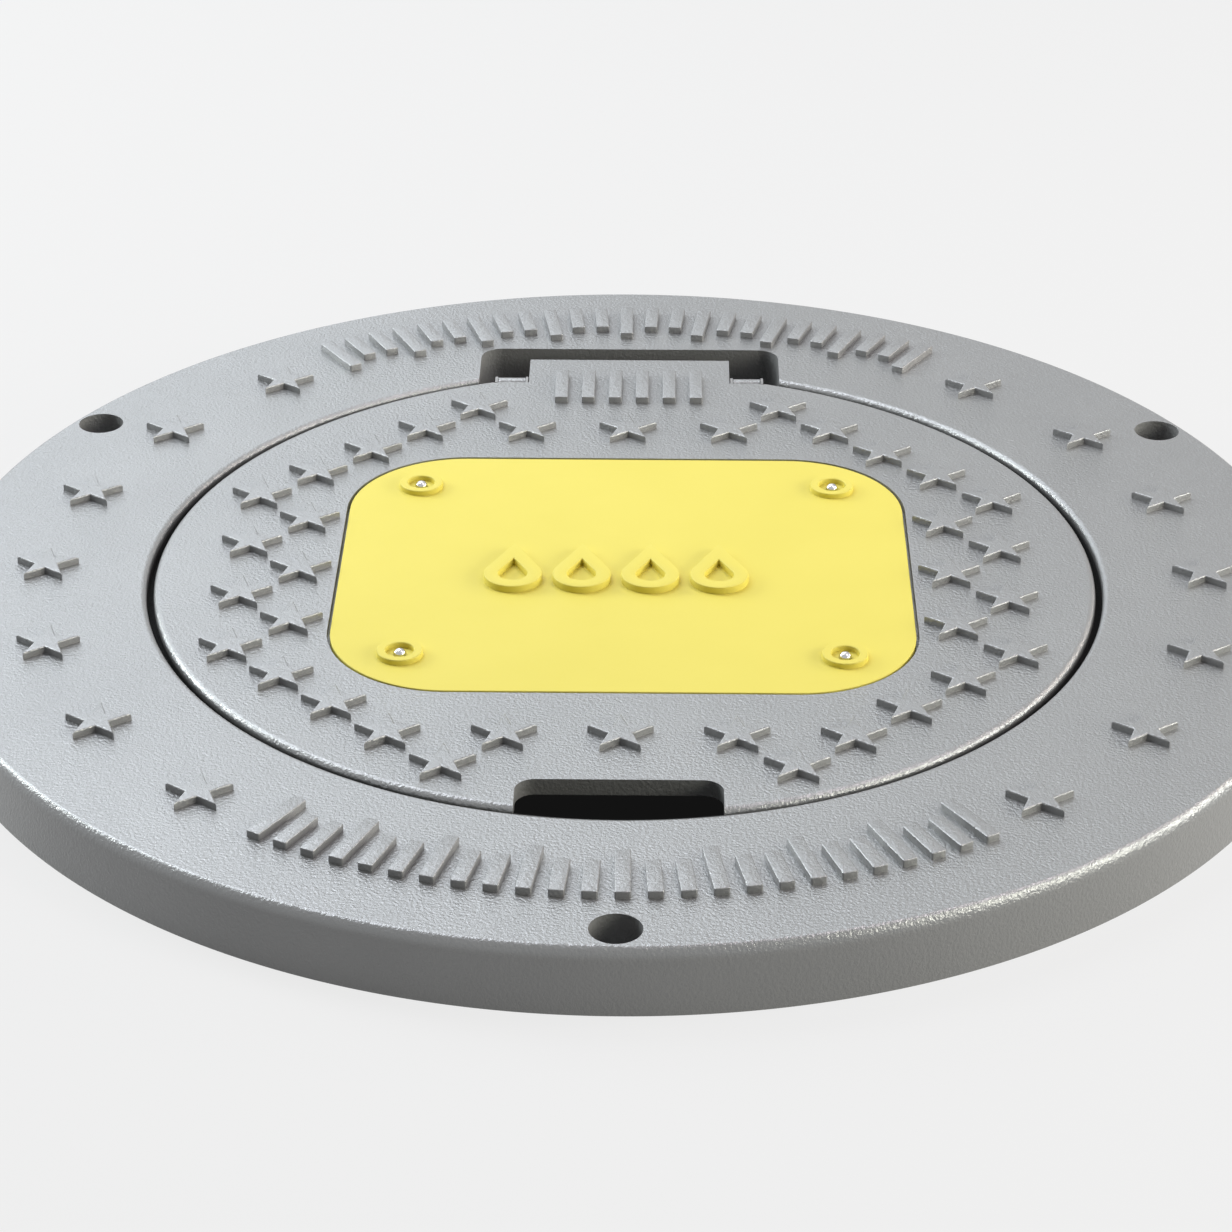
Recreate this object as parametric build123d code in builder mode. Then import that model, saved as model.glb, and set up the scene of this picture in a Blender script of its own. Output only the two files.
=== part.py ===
"""Fuel fill cover: a round cast ring with a hinged access lid and a yellow identification plate.

Millimetres, +Z up. The origin is at the centre of the underside, the pry slot is at -Y and the hinge at +Y.
"""

from build123d import *
import math
import os

os.makedirs("parts", exist_ok=True)

# Cover ring: the plate that stays in the ground, with its skirt and collar
COVER_RADIUS = 457.0
COVER_HEIGHT = 45.0
COVER_EDGE_REACH = 5.0
COVER_EDGE_DROP = 9.5
COVER_PLATE = 12.0
SKIRT_WALL = 10.0
OPENING_RADIUS = 316.0
OPENING_EDGE_ROUND = 4.0
COLLAR_WALL = 10.0
COLLAR_RAISE = 8.0
COVER_RIB_COUNT = 12
COVER_RIB_WALL = 8.0
COVER_RIB_RAISE = 14.0

# Seat that carries the lid
SEAT_WIDTH = 16.0
SEAT_THICKNESS = 12.0
SEAT_GUSSET = 12.0
SEAT_GAP = 0.3

# Bolt holes through the rim
BOLT_COUNT = 3
BOLT_INSET = 21.5
BOLT_HOLE_RADIUS = 15.7
BOLT_BOSS_WALL = 8.0
FIRST_BOLT_ANGLE = -90.0

# Access lid
LID_GAP = 4.5
LID_THICKNESS = 11.0
LID_EDGE_ROUND = 4.5
LID_RIM_RIB_INSET = 66.0
LID_RIM_RIB_WALL = 9.0
LID_RIB_DEPTH = 14.0
LID_SPOKE_COUNT = 8
LID_SPOKE_WALL = 8.0
LID_SPOKE_DEPTH = 12.0
LID_PAD_DEPTH = 6.0
LID_PAD_MARGIN = 9.0

# Pry slot in the front edge of the lid
SLOT_WIDTH = 126.0
SLOT_LENGTH = 39.7
SLOT_CORNER = 12.5

# Hinge tab at the back of the lid, and the notch that it swings down into
TAB_WIDTH = 146.8
TAB_REACH = 20.3
NOTCH_WIDTH = 220.0
NOTCH_REACH = 35.0
NOTCH_CORNER = 15.5
NOTCH_WALL = 8.0

# Hinge: knuckles on the ring between the ears of two brackets on the lid
HINGE_INSET = 15.0
HINGE_DROP = 5.5
KNUCKLE_RADIUS = 4.5
PIN_RADIUS = 2.5
PIN_CLEARANCE = 0.05
PIN_CHAMFER = 0.4
EAR_THICKNESS = 1.8
EAR_SPACING = 20.4
EAR_RADIUS = 5.2
EAR_TO_TAB = 0.7
EAR_SIDE_CLEARANCE = 0.3
BRACKET_LENGTH = 30.0
BRACKET_RECESS = 9.0
OPEN_ANGLE = 100.0
STOP_MARGIN = 1.0
STOP_WEB_WALL = 10.0
STOP_WEB_HEIGHT = 20.0

# Button-head screws that hold the brackets under the lid
BRACKET_SCREW_COUNT = 2
BRACKET_SCREW_SPACING = 14.0
BRACKET_SCREW_RADIUS = 2.5
BRACKET_SCREW_LENGTH = 9.0
BRACKET_SCREW_HEAD_RADIUS = 4.75
BRACKET_SCREW_HEAD_HEIGHT = 2.8
BRACKET_SCREW_HEAD_ROUND = 1.7
BRACKET_SCREW_SOCKET = 3.0
BRACKET_SCREW_SOCKET_DEPTH = 1.4
BRACKET_SCREW_END_GAP = 0.5

# Identification plate, sunk flush in a recess of the lid
PLATE_WIDTH = 378.0
PLATE_DEPTH = 330.0
PLATE_CORNER = 78.0
PLATE_THICKNESS = 6.0
PLATE_GAP = 2.0
PLATE_EDGE_ROUND = 0.6
PLATE_BOSS_SIDE_INSET = 47.0
PLATE_BOSS_END_INSET = 45.3
PLATE_BOSS_SHIFT = 0.8
PLATE_BOSS_RADIUS = 14.8
PLATE_BOSS_BORE = 9.2
PLATE_BOSS_HEIGHT = 3.8
PLATE_BOSS_ROUND = 0.8

# Dome-head screws of the plate
PLATE_SCREW_RADIUS = 2.5
PLATE_SCREW_LENGTH = 12.0
PLATE_SCREW_HEAD_RADIUS = 4.2
PLATE_SCREW_END_GAP = 0.5
SCREW_HOLE_CLEARANCE = 0.05

# Raised stars that give the tread grip, all with one point towards the hinge
STAR_RADIUS = 21.5
STAR_WAIST = 0.382
STAR_HEIGHT = 5.0
STAR_EDGE_CHAMFER = 0.4
STAR_PITCH = 35.9
LID_STAR_SHIFT = -5.9
RING_STAR_SHIFT = -4.0
RING_STAR_INSET = 2.5
RING_STARS_IN_FULL_CIRCLE = 22
RING_STARS_EACH_SIDE = 7
LID_STAR_ROWS = {
    0: (6,),
    1: (7,),
    2: (6,),
    3: (7,),
    4: (6,),
    5: (5,),
    6: (0, 2, 4),
    7: (3,),
}

# Places that follow from the sizes above
BOLT_CIRCLE_RADIUS = COVER_RADIUS - BOLT_INSET
RING_STAR_RADIUS = (OPENING_RADIUS + COVER_RADIUS) / 2 - RING_STAR_INSET
LID_RADIUS = OPENING_RADIUS - LID_GAP
LID_UNDERSIDE = COVER_HEIGHT - LID_THICKNESS
SEAT_LEVEL = LID_UNDERSIDE - SEAT_GAP
RIB_TOP = COVER_HEIGHT - COVER_PLATE / 2
TAB_END = LID_RADIUS + TAB_REACH
NOTCH_END = OPENING_RADIUS + NOTCH_REACH
HINGE_Y = OPENING_RADIUS - HINGE_INSET
HINGE_Z = COVER_HEIGHT - HINGE_DROP
BRACKET_WIDTH = EAR_SPACING + 2 * EAR_THICKNESS
BRACKET_X = TAB_WIDTH / 2 + EAR_TO_TAB + BRACKET_WIDTH / 2
BRACKET_FLOOR = LID_UNDERSIDE - EAR_THICKNESS
RECESS_Y = HINGE_Y - BRACKET_RECESS
PLATE_FLOOR = COVER_HEIGHT - PLATE_THICKNESS
SIDES = {"left": -1, "right": 1}


def stop_web_back():
    """Y of the face that the tab comes to rest on, a margin past the fully open angle."""
    tip_reach = TAB_END - HINGE_Y
    tip_drop = LID_THICKNESS - HINGE_DROP
    tip_radius = math.hypot(tip_reach, tip_drop)
    tip_angle = math.atan2(tip_drop, tip_reach) + math.radians(OPEN_ANGLE + STOP_MARGIN)
    return HINGE_Y + tip_radius * math.cos(tip_angle)


def star_points():
    """Corners of one five-pointed star, starting with the point towards +Y."""
    corners = []
    for step in range(10):
        angle = math.radians(90 + 36 * step)
        reach = STAR_RADIUS if step % 2 == 0 else STAR_RADIUS * STAR_WAIST
        corners.append((reach * math.cos(angle), reach * math.sin(angle)))
    return corners


def lid_star_places():
    """Feet of the lid's stars: every other point of a square grid, mirrored about both axes."""
    places = set()
    for row, columns in LID_STAR_ROWS.items():
        for column in columns:
            for side in (-1, 1):
                for end in (-1, 1):
                    x = side * column * STAR_PITCH
                    y = end * row * STAR_PITCH + LID_STAR_SHIFT
                    places.add((x, y, COVER_HEIGHT))
    return sorted(places)


def ring_star_places():
    """Feet of the ring's stars: an arc on the left and its mirror image on the right."""
    step = 360.0 / RING_STARS_IN_FULL_CIRCLE
    places = []
    for side in (-1, 1):
        for number in range(RING_STARS_EACH_SIDE):
            angle = math.radians((number - (RING_STARS_EACH_SIDE - 1) / 2) * step)
            x = side * RING_STAR_RADIUS * math.cos(angle)
            y = RING_STAR_RADIUS * math.sin(angle) + RING_STAR_SHIFT
            places.append((x, y, COVER_HEIGHT))
    return places


def plate_screw_places():
    """Centres of the plate's four screws."""
    half_x = PLATE_WIDTH / 2 - PLATE_BOSS_SIDE_INSET
    back = PLATE_DEPTH / 2 - PLATE_BOSS_END_INSET + PLATE_BOSS_SHIFT
    front = PLATE_BOSS_END_INSET - PLATE_DEPTH / 2 + PLATE_BOSS_SHIFT
    return [(-half_x, back), (half_x, back), (-half_x, front), (half_x, front)]


def bracket_screw_places(side):
    """Centres of the screws of one hinge bracket, in a row that runs away from the hinge."""
    first = RECESS_Y - BRACKET_LENGTH + BRACKET_SCREW_SPACING / 2
    return [(side * BRACKET_X, first + n * BRACKET_SCREW_SPACING) for n in range(BRACKET_SCREW_COUNT)]


def finish(part, label):
    """Name a finished piece and write it."""
    part.label = label
    export_step(part, f"parts/{label}.step")


# Raised star with broken top edges, shared by the ring and the lid
with BuildPart() as star:
    with BuildSketch():
        with BuildLine():
            Polyline(*star_points(), close=True)
        make_face()
    extrude(amount=STAR_HEIGHT)
    chamfer(faces().sort_by(Axis.Z)[-1].edges(), length=STAR_EDGE_CHAMFER)

# Cover ring: plate, skirt, collar and seat as one turned section with a rounded rim
with BuildPart() as cover_ring:
    edge_start = COVER_RADIUS - COVER_EDGE_REACH
    edge_end = COVER_HEIGHT - COVER_EDGE_DROP
    with BuildSketch(Plane.XZ):
        with BuildLine():
            EllipticalCenterArc((edge_start, edge_end), COVER_EDGE_REACH, COVER_EDGE_DROP, arc_size=90)
            Polyline(
                (COVER_RADIUS, edge_end),
                (COVER_RADIUS, 0),
                (COVER_RADIUS - SKIRT_WALL, 0),
                (COVER_RADIUS - SKIRT_WALL, COVER_HEIGHT - COVER_PLATE),
                (OPENING_RADIUS + COLLAR_WALL, COVER_HEIGHT - COVER_PLATE),
                (OPENING_RADIUS + COLLAR_WALL, COLLAR_RAISE),
                (OPENING_RADIUS, COLLAR_RAISE),
                (OPENING_RADIUS, SEAT_LEVEL - SEAT_THICKNESS - SEAT_GUSSET),
                (OPENING_RADIUS - SEAT_WIDTH, SEAT_LEVEL - SEAT_THICKNESS),
                (OPENING_RADIUS - SEAT_WIDTH, SEAT_LEVEL),
                (OPENING_RADIUS, SEAT_LEVEL),
                (OPENING_RADIUS, COVER_HEIGHT),
                (edge_start, COVER_HEIGHT),
            )
        section = make_face()
        opening_corner = section.vertices().group_by(Axis.Y)[-1].sort_by(Axis.X)[0]
        fillet(opening_corner, radius=OPENING_EDGE_ROUND)
    revolve(axis=Axis.Z)

    # Bosses round the bolt holes, down to the ground
    with BuildSketch():
        with PolarLocations(BOLT_CIRCLE_RADIUS, BOLT_COUNT, start_angle=FIRST_BOLT_ANGLE):
            Circle(BOLT_HOLE_RADIUS + BOLT_BOSS_WALL)
        Circle(COVER_RADIUS - SKIRT_WALL / 2, mode=Mode.INTERSECT)
    extrude(amount=RIB_TOP)

    # Radial ribs under the plate, from collar to skirt
    rib_inner = OPENING_RADIUS + COLLAR_WALL / 2
    rib_outer = COVER_RADIUS - SKIRT_WALL / 2
    rib_turn = 180.0 / COVER_RIB_COUNT
    with BuildSketch(Plane.XY.offset(COVER_RIB_RAISE)):
        with PolarLocations((rib_inner + rib_outer) / 2, COVER_RIB_COUNT, start_angle=rib_turn):
            Rectangle(rib_outer - rib_inner, COVER_RIB_WALL)
    extrude(amount=RIB_TOP - COVER_RIB_RAISE)

    # Ring rib half way between collar and skirt
    mid_rib_radius = (OPENING_RADIUS + COLLAR_WALL + COVER_RADIUS - SKIRT_WALL) / 2
    with BuildSketch(Plane.XY.offset(COVER_RIB_RAISE)):
        Circle(mid_rib_radius + COVER_RIB_WALL / 2)
        Circle(mid_rib_radius - COVER_RIB_WALL / 2, mode=Mode.SUBTRACT)
    extrude(amount=RIB_TOP - COVER_RIB_RAISE)

    # Walls of the hinge notch, then the notch itself
    walls_start = OPENING_RADIUS * math.cos(math.asin(NOTCH_WIDTH / 2 / OPENING_RADIUS))
    with BuildSketch(Plane.XY.offset(COLLAR_RAISE)):
        with Locations((0, (walls_start + NOTCH_END + NOTCH_WALL) / 2)):
            Rectangle(NOTCH_WIDTH + 2 * NOTCH_WALL, NOTCH_END + NOTCH_WALL - walls_start)
    extrude(amount=RIB_TOP - COLLAR_RAISE)

    web_back = stop_web_back()
    web_front = web_back - STOP_WEB_WALL
    seat_cut_start = web_front - SEAT_WIDTH
    with BuildSketch():
        with Locations((0, (seat_cut_start + NOTCH_END) / 2)):
            Rectangle(NOTCH_WIDTH, NOTCH_END - seat_cut_start)
        back_corners = vertices().group_by(Axis.Y)[-1]
        fillet(back_corners, radius=NOTCH_CORNER)
    extrude(amount=COVER_HEIGHT, mode=Mode.SUBTRACT)

    # Web across the mouth of the notch, which stops the open lid
    with BuildSketch(Plane.XY.offset(COLLAR_RAISE)):
        with Locations((0, (web_front + web_back) / 2)):
            Rectangle(NOTCH_WIDTH + 2 * NOTCH_WALL, STOP_WEB_WALL)
    extrude(amount=STOP_WEB_HEIGHT)

    # Hinge knuckles on lugs that rise from the web
    knuckle_width = EAR_SPACING - 2 * EAR_SIDE_CLEARANCE
    lug_top = COLLAR_RAISE + STOP_WEB_HEIGHT
    for side in SIDES.values():
        with BuildSketch(Plane.YZ.offset(side * BRACKET_X - knuckle_width / 2)):
            with Locations((HINGE_Y, HINGE_Z)):
                Circle(KNUCKLE_RADIUS)
            with BuildLine():
                Polyline(
                    (HINGE_Y - KNUCKLE_RADIUS, HINGE_Z),
                    (HINGE_Y - KNUCKLE_RADIUS, lug_top),
                    (web_back - STOP_WEB_WALL / 2, lug_top - KNUCKLE_RADIUS),
                    (web_back - STOP_WEB_WALL / 2, COLLAR_RAISE),
                    (HINGE_Y + KNUCKLE_RADIUS, COLLAR_RAISE),
                    (HINGE_Y + KNUCKLE_RADIUS, HINGE_Z),
                    close=True,
                )
            make_face()
        extrude(amount=knuckle_width)
        with BuildSketch(Plane.YZ.offset(side * BRACKET_X - knuckle_width / 2)):
            with Locations((HINGE_Y, HINGE_Z)):
                Circle(PIN_RADIUS + PIN_CLEARANCE)
        extrude(amount=knuckle_width, mode=Mode.SUBTRACT)

    # Bolt holes
    with BuildSketch():
        with PolarLocations(BOLT_CIRCLE_RADIUS, BOLT_COUNT, start_angle=FIRST_BOLT_ANGLE):
            Circle(BOLT_HOLE_RADIUS)
    extrude(amount=COVER_HEIGHT, mode=Mode.SUBTRACT)

    # Raised stars
    with Locations(*ring_star_places()):
        add(star.part)
finish(cover_ring.part, "cover_ring")

# Access lid: a turned disc with a hinge tab, ribs below and stars on top
with BuildPart() as access_lid:
    with BuildSketch(Plane.XZ):
        with BuildLine():
            Polyline(
                (0, COVER_HEIGHT),
                (LID_RADIUS, COVER_HEIGHT),
                (LID_RADIUS, LID_UNDERSIDE),
                (0, LID_UNDERSIDE),
                close=True,
            )
        disc_section = make_face()
        edge_corner = disc_section.vertices().group_by(Axis.Y)[-1].sort_by(Axis.X)[-1]
        fillet(edge_corner, radius=LID_EDGE_ROUND)
    revolve(axis=Axis.Z)

    with BuildSketch(Plane.XY.offset(LID_UNDERSIDE)):
        with Locations((0, (RECESS_Y + TAB_END) / 2)):
            Rectangle(TAB_WIDTH, TAB_END - RECESS_Y)
    extrude(amount=LID_THICKNESS)

    # Pad under the identification plate
    with BuildSketch(Plane.XY.offset(LID_UNDERSIDE - LID_PAD_DEPTH)):
        pad_grow = 2 * (PLATE_GAP + LID_PAD_MARGIN)
        pad_corner = PLATE_CORNER + PLATE_GAP + LID_PAD_MARGIN
        RectangleRounded(PLATE_WIDTH + pad_grow, PLATE_DEPTH + pad_grow, pad_corner)
    extrude(amount=LID_PAD_DEPTH)

    # Rim rib and spokes
    rim_rib_radius = LID_RADIUS - LID_RIM_RIB_INSET
    with BuildSketch(Plane.XY.offset(LID_UNDERSIDE - LID_RIB_DEPTH)):
        Circle(rim_rib_radius)
        Circle(rim_rib_radius - LID_RIM_RIB_WALL, mode=Mode.SUBTRACT)
    extrude(amount=LID_RIB_DEPTH)
    with BuildSketch(Plane.XY.offset(LID_UNDERSIDE - LID_SPOKE_DEPTH)):
        with PolarLocations(0, LID_SPOKE_COUNT // 2, angular_range=180):
            Rectangle(2 * rim_rib_radius - LID_RIM_RIB_WALL, LID_SPOKE_WALL)
    extrude(amount=LID_SPOKE_DEPTH)

    # Pry slot through the front edge
    with BuildSketch(Plane.XY.offset(LID_UNDERSIDE)):
        with Locations((0, -LID_RADIUS)):
            Rectangle(SLOT_WIDTH, 2 * SLOT_LENGTH)
        slot_corners = vertices().group_by(Axis.Y)[-1]
        fillet(slot_corners, radius=SLOT_CORNER)
    extrude(amount=LID_THICKNESS, mode=Mode.SUBTRACT)

    # Recesses beside the tab for the hinge brackets
    recess_width = BRACKET_WIDTH + EAR_TO_TAB + EAR_SIDE_CLEARANCE
    recess_x = (TAB_WIDTH + recess_width) / 2
    with BuildSketch(Plane.XY.offset(LID_UNDERSIDE)):
        with Locations((-recess_x, (RECESS_Y + TAB_END) / 2), (recess_x, (RECESS_Y + TAB_END) / 2)):
            Rectangle(recess_width, TAB_END - RECESS_Y)
    extrude(amount=LID_THICKNESS, mode=Mode.SUBTRACT)

    # Recess of the identification plate
    with BuildSketch(Plane.XY.offset(PLATE_FLOOR)):
        plate_grow = 2 * PLATE_GAP
        RectangleRounded(PLATE_WIDTH + plate_grow, PLATE_DEPTH + plate_grow, PLATE_CORNER + PLATE_GAP)
    extrude(amount=PLATE_THICKNESS, mode=Mode.SUBTRACT)

    # Tapped holes for the screws of the plate, and of the brackets
    plate_hole_depth = PLATE_SCREW_LENGTH - PLATE_THICKNESS + PLATE_SCREW_END_GAP
    with BuildSketch(Plane.XY.offset(PLATE_FLOOR - plate_hole_depth)):
        with Locations(*plate_screw_places()):
            Circle(PLATE_SCREW_RADIUS + SCREW_HOLE_CLEARANCE)
    extrude(amount=plate_hole_depth, mode=Mode.SUBTRACT)
    bracket_hole_depth = BRACKET_SCREW_LENGTH - EAR_THICKNESS + BRACKET_SCREW_END_GAP
    with BuildSketch(Plane.XY.offset(LID_UNDERSIDE)):
        with Locations(*bracket_screw_places(-1), *bracket_screw_places(1)):
            Circle(BRACKET_SCREW_RADIUS + SCREW_HOLE_CLEARANCE)
    extrude(amount=bracket_hole_depth, mode=Mode.SUBTRACT)

    # Raised stars
    with Locations(*lid_star_places()):
        add(star.part)
finish(access_lid.part, "access_lid")

# Identification plate with a raised boss round each screw
with BuildPart() as id_plate:
    with BuildSketch(Plane.XY.offset(PLATE_FLOOR)):
        RectangleRounded(PLATE_WIDTH, PLATE_DEPTH, PLATE_CORNER)
    extrude(amount=PLATE_THICKNESS)
    fillet(faces().sort_by(Axis.Z)[-1].edges(), radius=PLATE_EDGE_ROUND)
    with BuildSketch(Plane.XY.offset(COVER_HEIGHT)):
        with Locations(*plate_screw_places()):
            Circle(PLATE_BOSS_RADIUS)
    extrude(amount=PLATE_BOSS_HEIGHT)
    with BuildSketch(Plane.XY.offset(COVER_HEIGHT)):
        with Locations(*plate_screw_places()):
            Circle(PLATE_BOSS_BORE)
    extrude(amount=PLATE_BOSS_HEIGHT, mode=Mode.SUBTRACT)
    boss_rims = edges().filter_by(GeomType.CIRCLE).group_by(Axis.Z)[-1]
    fillet(boss_rims, radius=PLATE_BOSS_ROUND)
    with BuildSketch(Plane.XY.offset(PLATE_FLOOR)):
        with Locations(*plate_screw_places()):
            Circle(PLATE_SCREW_RADIUS + SCREW_HOLE_CLEARANCE)
    extrude(amount=PLATE_THICKNESS, mode=Mode.SUBTRACT)
finish(id_plate.part, "id_plate")

# Dome-head screws of the plate
for number, (x, y) in enumerate(plate_screw_places(), start=1):
    with BuildPart(Plane.XY.offset(COVER_HEIGHT)) as plate_screw:
        with Locations((x, y, 0)):
            Sphere(PLATE_SCREW_HEAD_RADIUS, arc_size1=0, align=(Align.CENTER, Align.CENTER, Align.MIN))
            Cylinder(PLATE_SCREW_RADIUS, PLATE_SCREW_LENGTH, align=(Align.CENTER, Align.CENTER, Align.MAX))
    finish(plate_screw.part, f"plate_screw_{number}")

# Hinge brackets: a base plate under the lid with two ears turned up round the pin
for name, side in SIDES.items():
    left_face = side * BRACKET_X - BRACKET_WIDTH / 2
    with BuildPart() as hinge_bracket:
        with BuildSketch(Plane.XY.offset(BRACKET_FLOOR)):
            with Locations((side * BRACKET_X, RECESS_Y - BRACKET_LENGTH / 2)):
                Rectangle(BRACKET_WIDTH, BRACKET_LENGTH)
        extrude(amount=EAR_THICKNESS)
        for ear_start in (left_face, left_face + EAR_SPACING + EAR_THICKNESS):
            with BuildSketch(Plane.YZ.offset(ear_start)):
                with Locations((HINGE_Y, HINGE_Z)):
                    Circle(EAR_RADIUS)
                with BuildLine():
                    Polyline(
                        (RECESS_Y - BRACKET_LENGTH / 2, BRACKET_FLOOR),
                        (HINGE_Y, HINGE_Z - EAR_RADIUS),
                        (HINGE_Y, HINGE_Z + EAR_RADIUS),
                        (RECESS_Y + EAR_SIDE_CLEARANCE, HINGE_Z + EAR_RADIUS),
                        (RECESS_Y + EAR_SIDE_CLEARANCE, LID_UNDERSIDE),
                        (RECESS_Y - BRACKET_LENGTH / 2, LID_UNDERSIDE),
                        close=True,
                    )
                make_face()
                with Locations((HINGE_Y, HINGE_Z)):
                    Circle(PIN_RADIUS + PIN_CLEARANCE, mode=Mode.SUBTRACT)
            extrude(amount=EAR_THICKNESS)
        with BuildSketch(Plane.XY.offset(BRACKET_FLOOR)):
            with Locations(*bracket_screw_places(side)):
                Circle(BRACKET_SCREW_RADIUS + SCREW_HOLE_CLEARANCE)
        extrude(amount=EAR_THICKNESS, mode=Mode.SUBTRACT)
    finish(hinge_bracket.part, f"hinge_bracket_{name}")

    # Hinge pin, flush with the outer faces of the ears
    with BuildPart() as hinge_pin:
        with BuildSketch(Plane.YZ.offset(left_face)):
            with Locations((HINGE_Y, HINGE_Z)):
                Circle(PIN_RADIUS)
        extrude(amount=BRACKET_WIDTH)
        chamfer(edges().filter_by(GeomType.CIRCLE), length=PIN_CHAMFER)
    finish(hinge_pin.part, f"hinge_pin_{name}")

    # Button-head screws of the bracket
    for number, (x, y) in enumerate(bracket_screw_places(side), start=1):
        with BuildPart(Plane.XY.offset(BRACKET_FLOOR)) as bracket_screw:
            with Locations((x, y, 0)):
                Cylinder(
                    BRACKET_SCREW_RADIUS,
                    BRACKET_SCREW_LENGTH,
                    align=(Align.CENTER, Align.CENTER, Align.MIN),
                )
                Cylinder(
                    BRACKET_SCREW_HEAD_RADIUS,
                    BRACKET_SCREW_HEAD_HEIGHT,
                    align=(Align.CENTER, Align.CENTER, Align.MAX),
                )
            head_rim = edges().filter_by(GeomType.CIRCLE).group_by(Axis.Z)[0]
            fillet(head_rim, radius=BRACKET_SCREW_HEAD_ROUND)
            with BuildSketch(Plane.XY.offset(BRACKET_FLOOR - BRACKET_SCREW_HEAD_HEIGHT)):
                with Locations((x, y)):
                    RegularPolygon(BRACKET_SCREW_SOCKET / 2, 6, major_radius=False)
            extrude(amount=BRACKET_SCREW_SOCKET_DEPTH, mode=Mode.SUBTRACT)
        finish(bracket_screw.part, f"bracket_screw_{name}_{number}")
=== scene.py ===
"""Looks of the fuel fill cover: materials, raised grip marks, light, floor and camera.

Metres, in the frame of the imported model. +Z is up, the pry slot is at -Y and the hinge at +Y.
"""

import math

import bmesh
import bpy
from mathutils import Matrix, Vector


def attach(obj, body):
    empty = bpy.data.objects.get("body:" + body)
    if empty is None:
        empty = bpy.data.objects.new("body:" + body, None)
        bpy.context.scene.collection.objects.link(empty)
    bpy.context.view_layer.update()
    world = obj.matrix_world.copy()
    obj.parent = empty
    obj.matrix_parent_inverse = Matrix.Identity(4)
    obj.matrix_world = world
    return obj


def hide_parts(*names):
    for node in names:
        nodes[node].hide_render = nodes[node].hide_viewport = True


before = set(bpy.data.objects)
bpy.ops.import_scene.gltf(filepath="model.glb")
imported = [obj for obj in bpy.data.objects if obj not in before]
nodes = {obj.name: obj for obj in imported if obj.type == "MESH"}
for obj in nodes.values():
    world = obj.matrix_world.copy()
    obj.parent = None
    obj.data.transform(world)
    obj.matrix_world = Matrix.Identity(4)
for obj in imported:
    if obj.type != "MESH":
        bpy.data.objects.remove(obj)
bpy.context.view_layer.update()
scene = bpy.context.scene

# Raised marks: the surface that they stand on, their feet just below it, their height and rounded edge
TOP = 0.045
MARK_FOOT = 0.0447
MARK_HEIGHT = 0.005
MARK_EDGE = 0.0006
EDGE_STEPS = 3
MITRE_LIMIT = 0.4

# Refining of the turned castings: the least radius that is refined, the shortest and longest coarse
# segment, the sag of its chord, the cuts made in it, and two tolerances for places
TURNED_FROM = 0.2
SEGMENT_SHORTEST = 0.009
SEGMENT_LONGEST = 0.033
CHORD_SAG = 0.0004
SEGMENT_CUTS = 3
NEAR = 2e-5
SAME_PLACE = 1e-6

# Rows of a fine rounding, and the walls that the roundings of the opening and the lid stop at
ROUNDING_STEPS = 12
NOTCH_HALF = 0.110
RECESS_HALF = 0.0984
RECESS_FRONT = 0.292
SLOT_HALF = 0.063

# Stars: their top, the narrow chamfer that they come with, the wider one that it becomes, and its rounding
STAR_TOP = 0.050
STAR_CHAMFER = 0.0004
STAR_EDGE = 0.0008
STAR_SOFT = 0.0005

# Angles in degrees: from which an edge is sharp on castings, on marks and on stars, and the limits for the
# joining of triangles that lie in one plane
SHARP_FROM = 32.0
MARK_SHARP_FROM = 40.0
STAR_SHARP_FROM = 20.0
JOIN_FACES = 5.0
JOIN_SHAPES = 60.0

# Numbers and sizes of the grip bars and drops
ARC_BARS = 25
ARC_SPAN = 65.0
LONG_BAR_EVERY = 3
LONG_BAR = 0.0465
SHORT_BAR = 0.0345
BAR_WIDTH = 0.0095
BAR_CORNER = 0.0010
BAR_CORNER_STEPS = 4
TAB_BARS = 6
TAB_BAR_PITCH = 0.0195
TAB_BAR_Y = 0.2805
DROPS = 4
DROP_PITCH = 0.0455
DROP_MIDDLE = (-0.0055, -0.0155)
DROP_HEIGHT = 0.062
DROP_ROUND = 0.31
DROP_BAND = 0.0095
DROP_STEPS = 40

# Camera that matches the photograph: its place, three angles in degrees, lens and sensor in millimetres
CAMERA_PLACE = (0.02315, -2.25355, 1.23325)
CAMERA_AZIMUTH = 0.7316
CAMERA_ELEVATION = 28.5015
CAMERA_ROLL = 0.0805
CAMERA_LENS = 111.99
SENSOR = 36.0

# Floor, a near-black disc below the cover that paints the shade in the shaft with a faint glow, and
# background
BACKGROUND = 0.863
FLOOR_GLOW = 0.92
FLOOR_BOUNCE = 0.35
FLOOR_RADIUS = 40.0
SHAFT_RADIUS = 0.4485
SHAFT_DEPTH = 0.0002
SHAFT_SHADE_GLOW = 0.0065
DISC_SIDES = 128
AMBIENT = 0.06
LAMP_DISTANCE = 2.6

# Share of the cast grain that is left on walls, and how far a normal leans up from a wall's to a top's
WALL_GRAIN = 0.75
WALL_LEAN = 0.05
TOP_LEAN = 0.40

# Painted shade in the lid's gap: the radii over which it sets in and ends, and the levels of full and of no
# painted shade
GAP_SHADE_INNER = (0.298, 0.301)
GAP_SHADE_OUTER = (0.3165, 0.3185)
GAP_SHADE_LEVELS = (0.0375, 0.0420)


def new_material(name):
    """An empty node material with its output and a principled shader."""
    material = bpy.data.materials.new(name)
    material.use_nodes = True
    tree = material.node_tree
    tree.nodes.clear()
    output = tree.nodes.new("ShaderNodeOutputMaterial")
    shader = tree.nodes.new("ShaderNodeBsdfPrincipled")
    tree.links.new(shader.outputs["BSDF"], output.inputs["Surface"])
    return material, tree, shader


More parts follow.
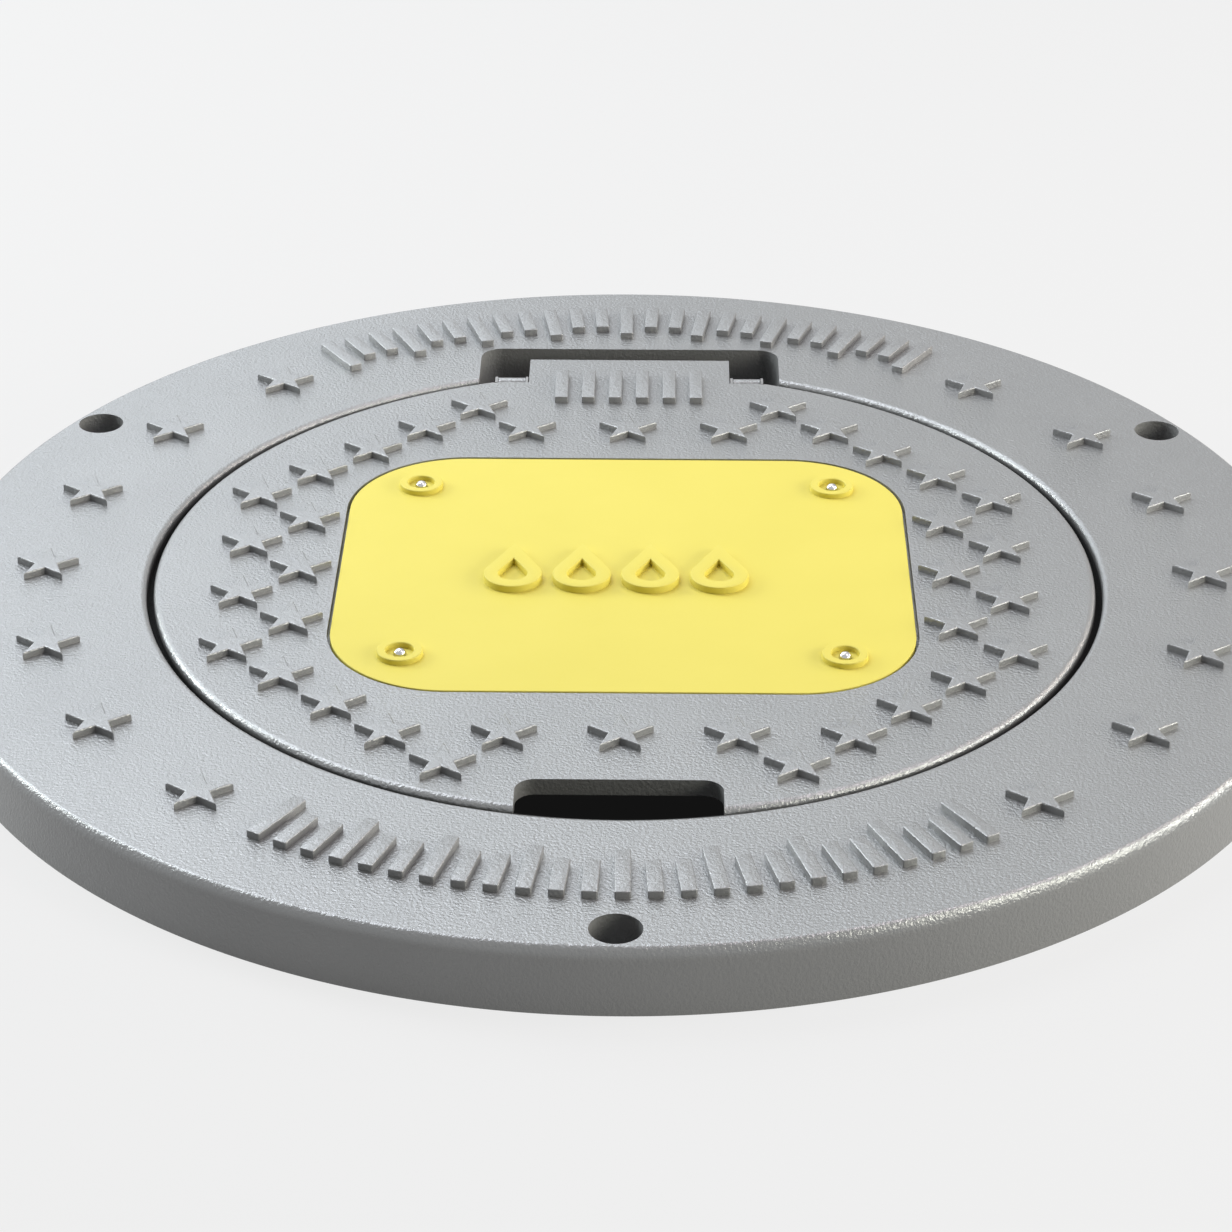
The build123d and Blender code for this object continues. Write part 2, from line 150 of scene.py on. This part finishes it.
def noise(tree, scale, detail=2.0, roughness=0.5):
    """A noise texture in the object's own metres."""
    coordinates = tree.nodes.new("ShaderNodeTexCoord")
    texture = tree.nodes.new("ShaderNodeTexNoise")
    texture.inputs["Scale"].default_value = scale
    texture.inputs["Detail"].default_value = detail
    texture.inputs["Roughness"].default_value = roughness
    tree.links.new(coordinates.outputs["Object"], texture.inputs["Vector"])
    return texture.outputs["Fac"]


def ramp(tree, source, stops):
    """A colour ramp over a factor: stops are (position, colour)."""
    node = tree.nodes.new("ShaderNodeValToRGB")
    elements = node.color_ramp.elements
    while len(elements) < len(stops):
        elements.new(0.5)
    for element, (position, colour) in zip(elements, stops):
        element.position = position
        element.color = (*colour, 1.0)
    tree.links.new(source, node.inputs["Fac"])
    return node.outputs["Color"]


def mix_colour(tree, factor, first, second):
    """Two colours mixed by a factor."""
    node = tree.nodes.new("ShaderNodeMix")
    node.data_type = "RGBA"
    colour_sockets = [socket for socket in node.inputs if socket.type == "RGBA"]
    tree.links.new(factor, node.inputs["Factor"])
    tree.links.new(first, colour_sockets[0])
    tree.links.new(second, colour_sockets[1])
    return next(socket for socket in node.outputs if socket.type == "RGBA")


def span(tree, source, low, high):
    """A factor mapped from 0..1 to low..high."""
    node = tree.nodes.new("ShaderNodeMapRange")
    node.inputs["To Min"].default_value = low
    node.inputs["To Max"].default_value = high
    tree.links.new(source, node.inputs["Value"])
    return node.outputs["Result"]


def add_bump(tree, shader, layers, share=None):
    """Chained bump nodes: layers are (height, strength, distance in metres), weaker where a share is low."""
    normal = None
    for height, strength, distance in layers:
        bump = tree.nodes.new("ShaderNodeBump")
        bump.inputs["Strength"].default_value = strength
        if share is not None:
            tree.links.new(span(tree, share, strength * WALL_GRAIN, strength), bump.inputs["Strength"])
        bump.inputs["Distance"].default_value = distance
        tree.links.new(height, bump.inputs["Height"])
        if normal is not None:
            tree.links.new(normal, bump.inputs["Normal"])
        normal = bump.outputs["Normal"]
    tree.links.new(normal, shader.inputs["Normal"])


def between(tree, source, low, high, first=0.0, last=1.0):
    """A smooth step from first to last while the source runs from low to high."""
    node = tree.nodes.new("ShaderNodeMapRange")
    node.interpolation_type = "SMOOTHSTEP"
    node.inputs["From Min"].default_value = low
    node.inputs["From Max"].default_value = high
    node.inputs["To Min"].default_value = first
    node.inputs["To Max"].default_value = last
    tree.links.new(source, node.inputs["Value"])
    return node.outputs["Result"]


def upward(tree):
    """One on faces that look up and zero on walls, by the surface's own normal."""
    geometry = tree.nodes.new("ShaderNodeNewGeometry")
    parts = tree.nodes.new("ShaderNodeSeparateXYZ")
    tree.links.new(geometry.outputs["Normal"], parts.inputs["Vector"])
    return between(tree, parts.outputs["Z"], WALL_LEAN, TOP_LEAN)


def combine(tree, operation, first, second):
    """Two factors multiplied, or the larger of the two, as the math operation says."""
    node = tree.nodes.new("ShaderNodeMath")
    node.operation = operation
    tree.links.new(first, node.inputs[0])
    tree.links.new(second, node.inputs[1])
    return node.outputs["Value"]


def painted_gap_shade(tree):
    """One deep in the round gap beside the lid, where the gap's shade is painted dark, and zero elsewhere.
    """
    coordinates = tree.nodes.new("ShaderNodeTexCoord")
    parts = tree.nodes.new("ShaderNodeSeparateXYZ")
    tree.links.new(coordinates.outputs["Object"], parts.inputs["Vector"])
    flat = tree.nodes.new("ShaderNodeCombineXYZ")
    tree.links.new(parts.outputs["X"], flat.inputs["X"])
    tree.links.new(parts.outputs["Y"], flat.inputs["Y"])
    length = tree.nodes.new("ShaderNodeVectorMath")
    length.operation = "LENGTH"
    tree.links.new(flat.outputs["Vector"], length.inputs[0])
    radius = length.outputs["Value"]
    past_inner = between(tree, radius, *GAP_SHADE_INNER)
    before_outer = between(tree, radius, *GAP_SHADE_OUTER, first=1.0, last=0.0)
    inside = combine(tree, "MULTIPLY", past_inner, before_outer)
    deep = between(tree, parts.outputs["Z"], *GAP_SHADE_LEVELS, first=1.0, last=0.0)
    return combine(tree, "MULTIPLY", inside, deep)


def cast_metal():
    """Light grey cast metal: an orange-peel skin, with painted light on faces that look up, which are bluer
    and more metallic, and painted shade on walls, which are less metallic.
    """
    material, tree, shader = new_material("cast_metal_skin")
    fine = noise(tree, 470.0, 2.5, 0.55)
    broad = noise(tree, 9.0, 3.0, 0.5)
    # Painted light and shade: up-facing faces get a bluer tone and more metal, which catches more light, and
    # walls get less, so they render darker
    lit_top_share = upward(tree)
    skin = ramp(tree, broad, [(0.3, (0.290, 0.296, 0.300)), (0.7, (0.310, 0.316, 0.320))])
    wall = ramp(tree, broad, [(0.3, (0.290, 0.292, 0.293)), (0.7, (0.310, 0.312, 0.313))])
    # Painted shade: a near-black colour stands in for the shade deep in the lid's gap, and the roughness
    # there is raised to dull its reflections
    painted_gap_shade_colour = ramp(tree, broad, [(0.3, (0.016, 0.016, 0.016)), (0.7, (0.024, 0.024, 0.023))])
    clean = mix_colour(tree, lit_top_share, wall, skin)
    gap_shade_share = painted_gap_shade(tree)
    tree.links.new(mix_colour(tree, gap_shade_share, clean, painted_gap_shade_colour), shader.inputs["Base Color"])
    rough = combine(tree, "MAXIMUM", span(tree, fine, 0.27, 0.35), span(tree, gap_shade_share, 0.0, 0.9))
    tree.links.new(rough, shader.inputs["Roughness"])
    tree.links.new(span(tree, lit_top_share, 0.30, 0.55), shader.inputs["Metallic"])
    add_bump(tree, shader, [(fine, 1.0, 0.00075), (noise(tree, 1100.0, 1.0), 0.5, 0.00025)], lit_top_share)
    return material


def yellow_plastic():
    """Smooth moulded yellow plastic."""
    material, tree, shader = new_material("yellow_plastic")
    broad = noise(tree, 14.0, 2.0, 0.5)
    colour = ramp(tree, broad, [(0.3, (0.745, 0.650, 0.121)), (0.7, (0.765, 0.668, 0.129))])
    tree.links.new(colour, shader.inputs["Base Color"])
    tree.links.new(span(tree, noise(tree, 300.0, 2.0), 0.50, 0.58), shader.inputs["Roughness"])
    shader.inputs["Specular IOR Level"].default_value = 0.3
    add_bump(tree, shader, [(noise(tree, 240.0, 1.0), 0.04, 0.0003)])
    return material


def polished_steel():
    """Smooth dome heads with faint variation."""
    material, tree, shader = new_material("bright_steel")
    tone = ramp(tree, noise(tree, 500.0, 2.0), [(0.3, (0.50, 0.50, 0.51)), (0.7, (0.54, 0.54, 0.55))])
    tree.links.new(tone, shader.inputs["Base Color"])
    tree.links.new(span(tree, noise(tree, 600.0, 2.0), 0.20, 0.26), shader.inputs["Roughness"])
    shader.inputs["Metallic"].default_value = 1.0
    add_bump(tree, shader, [(noise(tree, 400.0, 1.0), 0.02, 0.0001)])
    return material


def zinc_steel():
    """Plain plated steel of the hinge hardware."""
    material, tree, shader = new_material("zinc_steel")
    tone = ramp(tree, noise(tree, 260.0, 3.0), [(0.3, (0.25, 0.25, 0.25)), (0.7, (0.33, 0.33, 0.33))])
    tree.links.new(tone, shader.inputs["Base Color"])
    tree.links.new(span(tree, noise(tree, 700.0, 2.0), 0.38, 0.52), shader.inputs["Roughness"])
    shader.inputs["Metallic"].default_value = 0.6
    add_bump(tree, shader, [(noise(tree, 900.0, 2.0), 0.10, 0.0002)])
    return material


def dress(piece, material):
    """Give every material slot of a piece the same material."""
    if not piece.material_slots:
        piece.data.materials.append(material)
    for index in range(len(piece.material_slots)):
        piece.material_slots[index].material = material


def inset(outline, depth):
    """A closed outline, run anticlockwise, with each corner moved inwards along its mitre."""
    moved = []
    count = len(outline)
    for i in range(count):
        before = (outline[i] - outline[i - 1]).normalized()
        after = (outline[(i + 1) % count] - outline[i]).normalized()
        mitre = Vector((-before.y - after.y, before.x + after.x))
        moved.append(outline[i] + mitre * (depth * 2.0 / max(mitre.length_squared, MITRE_LIMIT)))
    return moved


def rounded_rings(outline):
    """Rings of a raised mark, from its foot over its rounded edge: (outline, share of the edge's height)."""
    rings = [(outline, None)]
    for step in range(EDGE_STEPS + 1):
        turn = math.pi / 2 * step / EDGE_STEPS
        rings.append((inset(outline, MARK_EDGE * (1.0 - math.cos(turn))), math.sin(turn)))
    return rings


def add_wall(mesh, outline):
    """Adds the wall and rounded edge of a raised mark, and returns its bottom and top rings of vertices."""
    levels = []
    for ring, rise in rounded_rings(outline):
        level = MARK_FOOT if rise is None else TOP + MARK_HEIGHT - MARK_EDGE + MARK_EDGE * rise
        levels.append([mesh.verts.new((point.x, point.y, level)) for point in ring])
    count = len(outline)
    for low, high in zip(levels, levels[1:]):
        for i in range(count):
            j = (i + 1) % count
            mesh.faces.new((low[i], low[j], high[j], high[i]))
    return levels[0], levels[-1]


def rounded_bar(centre, length, turn):
    """Outline of a bar with round corners, its length along the turn angle."""
    outline = []
    c, s = math.cos(turn), math.sin(turn)
    for sign_x, sign_y, start in ((1, 1, 0), (-1, 1, 90), (-1, -1, 180), (1, -1, 270)):
        for step in range(BAR_CORNER_STEPS + 1):
            angle = math.radians(start + 90.0 * step / BAR_CORNER_STEPS)
            x = sign_x * (length / 2 - BAR_CORNER) + BAR_CORNER * math.cos(angle)
            y = sign_y * (BAR_WIDTH / 2 - BAR_CORNER) + BAR_CORNER * math.sin(angle)
            outline.append(Vector((centre[0] + x * c - y * s, centre[1] + x * s + y * c)))
    return outline


def drop(centre):
    """Outline of a plain drop, its point towards +Y. The centre is that of its round end."""
    radius = DROP_HEIGHT * DROP_ROUND
    reach = DROP_HEIGHT - radius
    flank = math.acos(radius / reach)
    outline = []
    for step in range(DROP_STEPS + 1):
        angle = math.pi / 2 + flank + (2 * math.pi - 2 * flank) * step / DROP_STEPS
        outline.append(Vector((centre[0] + radius * math.cos(angle), centre[1] + radius * math.sin(angle))))
    outline.append(Vector((centre[0], centre[1] + reach)))
    return outline


def marks(name, outlines, body, material, band=0.0):
    """One piece with a group of raised marks, each solid or, with a band, open in the middle."""
    mesh = bmesh.new()
    for outline in outlines:
        bottom, top = add_wall(mesh, outline)
        if band:
            hole = list(reversed(inset(outline, band)))
            hole_bottom, hole_top = add_wall(mesh, hole)
            hole_bottom.reverse()
            hole_top.reverse()
            for i in range(len(top)):
                j = (i + 1) % len(top)
                mesh.faces.new((top[i], top[j], hole_top[j], hole_top[i]))
                mesh.faces.new((bottom[j], bottom[i], hole_bottom[i], hole_bottom[j]))
        else:
            mesh.faces.new(top)
            mesh.faces.new(list(reversed(bottom)))
    for face in mesh.faces:
        face.smooth = True
    data = bpy.data.meshes.new(name)
    mesh.to_mesh(data)
    mesh.free()
    data.set_sharp_from_angle(angle=math.radians(MARK_SHARP_FROM))
    piece = bpy.data.objects.new(name, data)
    scene.collection.objects.link(piece)
    dress(piece, material)
    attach(piece, body)


def circle_key(place):
    """Radius and level of a point, rounded so that all points of one turned circle agree."""
    return round(math.hypot(place.x, place.y), 5), round(place.z, 5)


def in_rounding(face, rounding):
    """True for a coarse facet of a turned rounding, and false for the flat faces that end on it."""
    centre_r, centre_z, reach, rise = rounding[:4]
    low, high = sorted((centre_r, centre_r + reach))
    keys = [circle_key(vert.co) for vert in face.verts]
    for radius, level in keys:
        if not low - NEAR < radius < high + NEAR:
            return False
        if not centre_z - NEAR < level < centre_z + rise + NEAR:
            return False
    if all(level > centre_z + rise - NEAR for radius, level in keys):
        return False
    if all(abs(radius - centre_r - reach) < NEAR for radius, level in keys):
        return False
    places = [vert.co for vert in face.verts]
    flat_x = max(place.x for place in places) - min(place.x for place in places) < NEAR / 2
    flat_y = max(place.y for place in places) - min(place.y for place in places) < NEAR / 2
    return not (flat_x or flat_y)


def add_rounding(points, faces, normals, rounding):
    """Adds a fine turned rounding as rows of quads, with the exact normal at each of their corners."""
    centre_r, centre_z, reach, rise, columns, span_of = rounding
    first = len(points)
    slopes = []
    for step in range(ROUNDING_STEPS + 1):
        turn = math.pi / 2 * step / ROUNDING_STEPS
        radius = centre_r + reach * math.cos(turn)
        level = centre_z + rise * math.sin(turn)
        slope = Vector((math.cos(turn) / reach, math.sin(turn) / rise)).normalized()
        start, end = span_of(radius)
        for column in range(columns + 1):
            angle = start + (end - start) * column / columns
            points.append((radius * math.cos(angle), radius * math.sin(angle), level))
            slopes.append((slope.x * math.cos(angle), slope.x * math.sin(angle), slope.y))
    for step in range(ROUNDING_STEPS):
        for column in range(columns):
            low = step * (columns + 1) + column
            high = low + columns + 1
            corners = (low, low + 1, high + 1, high) if reach > 0 else (high, high + 1, low + 1, low)
            faces.append(tuple(first + corner for corner in corners))
            normals.extend(slopes[corner] for corner in corners)


def add_cuts(mesh):
    """Cuts the coarse segments of all turned circles in four and sets the new points on their circles."""
    keys = {vert: circle_key(vert.co) for vert in mesh.verts}
    known = {key for key in keys.values() if key[0] > TURNED_FROM and key[1] < TOP + NEAR}
    long_edges = []
    for edge in mesh.edges:
        first, second = (keys[vert] for vert in edge.verts)
        if first == second and first in known and SEGMENT_SHORTEST < edge.calc_length() < SEGMENT_LONGEST:
            long_edges.append(edge)
    bmesh.ops.subdivide_edges(mesh, edges=long_edges, cuts=SEGMENT_CUTS, use_grid_fill=False)
    for vert in mesh.verts:
        if vert in keys:
            continue
        reach, level = circle_key(vert.co)
        near = [key[0] for key in known if abs(key[1] - level) < NEAR and -NEAR < key[0] - reach < CHORD_SAG]
        if near:
            scale = min(near) / math.hypot(vert.co.x, vert.co.y)
            vert.co.x *= scale
            vert.co.y *= scale


def soften_stars(mesh):
    """Widens the broken top edges of the raised stars and rounds them."""
    growth = STAR_EDGE / STAR_CHAMFER
    lows = {vert for vert in mesh.verts if abs(vert.co.z - STAR_TOP + STAR_CHAMFER) < NEAR}
    for vert in mesh.verts:
        if abs(vert.co.z - STAR_TOP) < NEAR:
            partners = [edge.other_vert(vert) for edge in vert.link_edges if edge.other_vert(vert) in lows]
            foot = min(partners, key=lambda other: (other.co - vert.co).length).co
            vert.co.x = foot.x + growth * (vert.co.x - foot.x)
            vert.co.y = foot.y + growth * (vert.co.y - foot.y)
    for vert in lows:
        vert.co.z = STAR_TOP - STAR_EDGE
    edges = []
    for edge in mesh.edges:
        levels = [vert.co.z for vert in edge.verts]
        at_top = all(abs(level - STAR_TOP) < NEAR for level in levels)
        at_foot = all(abs(level - STAR_TOP + STAR_EDGE) < NEAR for level in levels)
        if not (at_top or at_foot) or len(edge.link_faces) != 2:
            continue
        if edge.calc_face_angle() > math.radians(STAR_SHARP_FROM):
            edges.append(edge)
    bmesh.ops.bevel(mesh, geom=edges, offset=STAR_SOFT, segments=2, profile=0.5, affect="EDGES")


def weighted_shape(mesh, name):
    """Points, faces and corner normals of a mesh, its normals weighted by area and sharp at its corners."""
    data = bpy.data.meshes.new(name)
    mesh.to_mesh(data)
    data.set_sharp_from_angle(angle=math.radians(SHARP_FROM))
    carrier = bpy.data.objects.new(name, data)
    scene.collection.objects.link(carrier)
    weighted = carrier.modifiers.new("weighted", "WEIGHTED_NORMAL")
    weighted.mode = "FACE_AREA_WITH_ANGLE"
    weighted.keep_sharp = True
    evaluated = carrier.evaluated_get(bpy.context.evaluated_depsgraph_get())
    shaped = evaluated.to_mesh()
    points = [tuple(vert.co) for vert in shaped.vertices]
    faces = [tuple(polygon.vertices) for polygon in shaped.polygons]
    normals = [tuple(corner.vector) for corner in shaped.corner_normals]
    evaluated.to_mesh_clear()
    bpy.data.objects.remove(carrier)
    bpy.data.meshes.remove(data)
    return points, faces, normals


def refine(node, roundings, body):
    """A finer copy of a turned casting: smooth circles, exact roundings and soft star edges."""
    mesh = bmesh.new()
    verts = [mesh.verts.new(vert.co) for vert in node.data.vertices]
    for polygon in node.data.polygons:
        mesh.faces.new([verts[index] for index in polygon.vertices])
    bmesh.ops.remove_doubles(mesh, verts=mesh.verts, dist=SAME_PLACE)
    coarse = [face for face in mesh.faces if any(in_rounding(face, rounding) for rounding in roundings)]
    bmesh.ops.delete(mesh, geom=coarse, context="FACES")
    bmesh.ops.join_triangles(
        mesh,
        faces=mesh.faces,
        angle_face_threshold=math.radians(JOIN_FACES),
        angle_shape_threshold=math.radians(JOIN_SHAPES),
    )
    add_cuts(mesh)
    soften_stars(mesh)
    for face in mesh.faces:
        face.smooth = True
    points, faces, normals = weighted_shape(mesh, node.name + "_rough")
    mesh.free()
    for rounding in roundings:
        add_rounding(points, faces, normals, rounding)
    data = bpy.data.meshes.new(node.name + "_fine")
    data.from_pydata(points, [], faces)
    data.polygons.foreach_set("use_smooth", [True] * len(faces))
    data.set_sharp_from_angle(angle=math.radians(SHARP_FROM))
    data.normals_split_custom_set(normals)
    piece = bpy.data.objects.new(node.name + "_fine", data)
    scene.collection.objects.link(piece)
    piece.matrix_world = node.matrix_world
    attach(piece, body)
    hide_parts(node.name)
    return piece


def whole_circle(radius):
    """The rim of the ring runs all the way round."""
    return 0.0, 2.0 * math.pi


def opening_span(radius):
    """The edge of the opening stops at the walls of the hinge notch."""
    end = math.acos(NOTCH_HALF / radius)
    return math.pi - end, 2.0 * math.pi + end


def lid_span_right(radius):
    """The right half of the lid's edge runs from the pry slot to the recess beside the hinge tab."""
    end = min(math.acos(RECESS_HALF / radius), math.asin(RECESS_FRONT / radius))
    return -math.acos(SLOT_HALF / radius), end


def lid_span_left(radius):
    """The left half mirrors the right one."""
    start, end = lid_span_right(radius)
    return math.pi - end, math.pi - start


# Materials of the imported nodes
metal = cast_metal()
yellow = yellow_plastic()
bright = polished_steel()
zinc = zinc_steel()
for name, node in nodes.items():
    if name == "id_plate":
        dress(node, yellow)
    elif name.startswith("plate_screw"):
        dress(node, bright)
    elif name not in ("cover_ring", "access_lid"):
        dress(node, zinc)

# Finer copies of the two castings. A rounding: centre radius and level, reach, rise, columns and span
ring_roundings = (
    (0.452, 0.0355, 0.005, 0.0095, 720, whole_circle),
    (0.320, 0.041, -0.004, 0.004, 480, opening_span),
)
lid_roundings = (
    (0.307, 0.0405, 0.0045, 0.0045, 220, lid_span_right),
    (0.307, 0.0405, 0.0045, 0.0045, 220, lid_span_left),
)
castings = (("cover_ring", ring_roundings, "cover"), ("access_lid", lid_roundings, "lid"))
for name, roundings, body in castings:
    dress(refine(nodes[name], roundings, body), metal)

# Raised grip bars on the ring, front and back: long and short ones on a common outer line
for name, middle, outer in (("grip_bars_front", -89.5, 0.4045), ("grip_bars_back", 90.4, 0.4165)):
    outlines = []
    for number in range(ARC_BARS):
        turn = math.radians(middle + (number / (ARC_BARS - 1) - 0.5) * ARC_SPAN)
        length = LONG_BAR if number % LONG_BAR_EVERY == 0 else SHORT_BAR
        radius = outer - length / 2
        centre = (radius * math.cos(turn), radius * math.sin(turn))
        outlines.append(rounded_bar(centre, length, turn))
    marks(name, outlines, "cover", metal)

# Raised grip bars on the hinge tab
tab_outlines = []
for number in range(TAB_BARS):
    centre = ((number - (TAB_BARS - 1) / 2) * TAB_BAR_PITCH, TAB_BAR_Y)
    tab_outlines.append(rounded_bar(centre, LONG_BAR, math.radians(90)))
marks("grip_bars_tab", tab_outlines, "lid", metal)

# Raised drops on the yellow plate
drop_outlines = []
for number in range(DROPS):
    centre = (DROP_MIDDLE[0] + (number - (DROPS - 1) / 2) * DROP_PITCH, DROP_MIDDLE[1])
    drop_outlines.append(drop(centre))
marks("plate_drops", drop_outlines, "lid", yellow, band=DROP_BAND)


def circle(mesh, radius, level):
    """A ring of new vertices at a level."""
    angles = [2 * math.pi * i / DISC_SIDES for i in range(DISC_SIDES)]
    return [mesh.verts.new((radius * math.cos(a), radius * math.sin(a), level)) for a in angles]


def disc(name, radius, level, inner=0.0):
    """A flat disc, or a flat ring where it has an inner radius, that belongs to the stage."""
    mesh = bmesh.new()
    outer = circle(mesh, radius, level)
    if inner:
        hole = circle(mesh, inner, level)
        for i in range(DISC_SIDES):
            j = (i + 1) % DISC_SIDES
            mesh.faces.new((outer[i], outer[j], hole[j], hole[i]))
    else:
        mesh.faces.new(outer)
    data = bpy.data.meshes.new(name)
    mesh.to_mesh(data)
    mesh.free()
    piece = bpy.data.objects.new(name, data)
    scene.collection.objects.link(piece)
    return piece


def seen_directly(tree):
    """One where a ray comes from the camera, a gloss or a clear surface, and zero elsewhere."""
    path = tree.nodes.new("ShaderNodeLightPath").outputs
    seen = combine(tree, "MAXIMUM", path["Is Camera Ray"], path["Is Glossy Ray"])
    return combine(tree, "MAXIMUM", seen, path["Is Transmission Ray"])


def floor_material():
    """Pale floor: a steady glow for what sees it directly, with a share that keeps shadows."""
    material = bpy.data.materials.new("pale_floor")
    material.use_nodes = True
    tree = material.node_tree
    tree.nodes.clear()
    output = tree.nodes.new("ShaderNodeOutputMaterial")
    glow = tree.nodes.new("ShaderNodeEmission")
    glow.inputs["Color"].default_value = (BACKGROUND, BACKGROUND, BACKGROUND, 1.0)
    glow.inputs["Strength"].default_value = FLOOR_GLOW
    seen = tree.nodes.new("ShaderNodeBsdfDiffuse")
    share = BACKGROUND * (1.0 - FLOOR_GLOW)
    seen.inputs["Color"].default_value = (share, share, share, 1.0)
    both = tree.nodes.new("ShaderNodeAddShader")
    tree.links.new(glow.outputs["Emission"], both.inputs[0])
    tree.links.new(seen.outputs["BSDF"], both.inputs[1])
    bounce = tree.nodes.new("ShaderNodeBsdfDiffuse")
    bounce.inputs["Color"].default_value = (FLOOR_BOUNCE, FLOOR_BOUNCE, FLOOR_BOUNCE, 1.0)
    mix = tree.nodes.new("ShaderNodeMixShader")
    tree.links.new(seen_directly(tree), mix.inputs["Fac"])
    tree.links.new(bounce.outputs["BSDF"], mix.inputs[1])
    tree.links.new(both.outputs["Shader"], mix.inputs[2])
    tree.links.new(mix.outputs["Shader"], output.inputs["Surface"])
    return material


def painted_shade_shaft_material():
    """Painted shade: near black with a faint glow, a sheet that stands for the dark shaft below the cover.
    """
    material, tree, shader = new_material("painted_shade_shaft")
    tone = ramp(tree, noise(tree, 30.0), [(0.3, (0.006, 0.006, 0.006)), (0.7, (0.008, 0.008, 0.008))])
    tree.links.new(tone, shader.inputs["Base Color"])
    shader.inputs["Roughness"].default_value = 1.0
    shader.inputs["Specular IOR Level"].default_value = 0.0
    shader.inputs["Emission Color"].default_value = (1.0, 1.0, 1.0, 1.0)
    shader.inputs["Emission Strength"].default_value = SHAFT_SHADE_GLOW
    return material


floor = disc("floor", FLOOR_RADIUS, 0.0, inner=SHAFT_RADIUS)
floor.data.materials.append(floor_material())
# The shaft disc is painted shade: a dark sheet with a faint glow where there is only shade below the cover
shaft = disc("shaft", SHAFT_RADIUS, -SHAFT_DEPTH)
shaft.data.materials.append(painted_shade_shaft_material())

# World: the pale background for what sees it directly, soft ambient light for the rest
world = bpy.data.worlds.new("world")
scene.world = world
world.use_nodes = True
tree = world.node_tree
tree.nodes.clear()
world_output = tree.nodes.new("ShaderNodeOutputWorld")
seen_world = tree.nodes.new("ShaderNodeBackground")
seen_world.inputs["Color"].default_value = (BACKGROUND, BACKGROUND, BACKGROUND, 1.0)
lit_world = tree.nodes.new("ShaderNodeBackground")
lit_world.inputs["Color"].default_value = (1.0, 1.0, 1.0, 1.0)
lit_world.inputs["Strength"].default_value = AMBIENT
world_mix = tree.nodes.new("ShaderNodeMixShader")
tree.links.new(seen_directly(tree), world_mix.inputs["Fac"])
tree.links.new(lit_world.outputs["Background"], world_mix.inputs[1])
tree.links.new(seen_world.outputs["Background"], world_mix.inputs[2])
tree.links.new(world_mix.outputs["Shader"], world_output.inputs["Surface"])


def lamp(name, azimuth, elevation, size, watts, colour):
    """A square soft box that faces the object. Azimuth 0 is behind it, +Y, and 90 to its right, +X."""
    turn, lift = math.radians(azimuth), math.radians(elevation)
    away = Vector((math.sin(turn) * math.cos(lift), math.cos(turn) * math.cos(lift), math.sin(lift)))
    data = bpy.data.lights.new(name, "AREA")
    data.shape = "SQUARE"
    data.size = size
    data.energy = watts
    data.color = colour
    lamp_object = bpy.data.objects.new(name, data)
    scene.collection.objects.link(lamp_object)
    lamp_object.location = away * LAMP_DISTANCE
    lamp_object.rotation_mode = "QUATERNION"
    lamp_object.rotation_quaternion = away.to_track_quat("Z", "Y")


# Name, azimuth and elevation in degrees, size in metres, watts and colour of each lamp
LAMPS = (
    ("back", -20, 25, 1.2, 6.9, (0.86, 0.93, 1.0)),
    ("high_back", 0, 55, 1.2, 9.9, (0.91, 0.97, 1.0)),
    ("key_left_back", -50, 30, 1.4, 6.2, (0.88, 0.93, 1.0)),
    ("top_left_back", -50, 60, 1.2, 23.3, (0.89, 0.91, 1.0)),
    ("upper_left", -60, 45, 0.8, 10.8, (0.88, 1.0, 0.98)),
    ("low_left_back", -65, 20, 0.8, 32.9, (0.95, 1.0, 0.99)),
    ("low_right_back", 62, 20, 0.7, 10.3, (1.0, 0.86, 0.76)),
    ("top_right", 90, 60, 0.8, 16.3, (1.0, 0.88, 0.93)),
    ("side_right", 86, 15, 0.7, 22.4, (1.0, 1.0, 0.93)),
    ("right_front", 118, 20, 1.0, 25.8, (1.0, 0.98, 0.84)),
)
for settings in LAMPS:
    lamp(*settings)

# Camera
camera_data = bpy.data.cameras.new("camera")
camera_data.sensor_width = SENSOR
camera_data.lens = CAMERA_LENS
camera_data.clip_start = 0.05
camera_data.clip_end = 200.0
camera = bpy.data.objects.new("camera", camera_data)
scene.collection.objects.link(camera)
camera.matrix_world = (
    Matrix.Translation(CAMERA_PLACE)
    @ Matrix.Rotation(math.radians(CAMERA_AZIMUTH), 4, "Z")
    @ Matrix.Rotation(math.radians(90.0 - CAMERA_ELEVATION), 4, "X")
    @ Matrix.Rotation(math.radians(CAMERA_ROLL), 4, "Z")
)
scene.camera = camera

scene.view_settings.view_transform = "Standard"
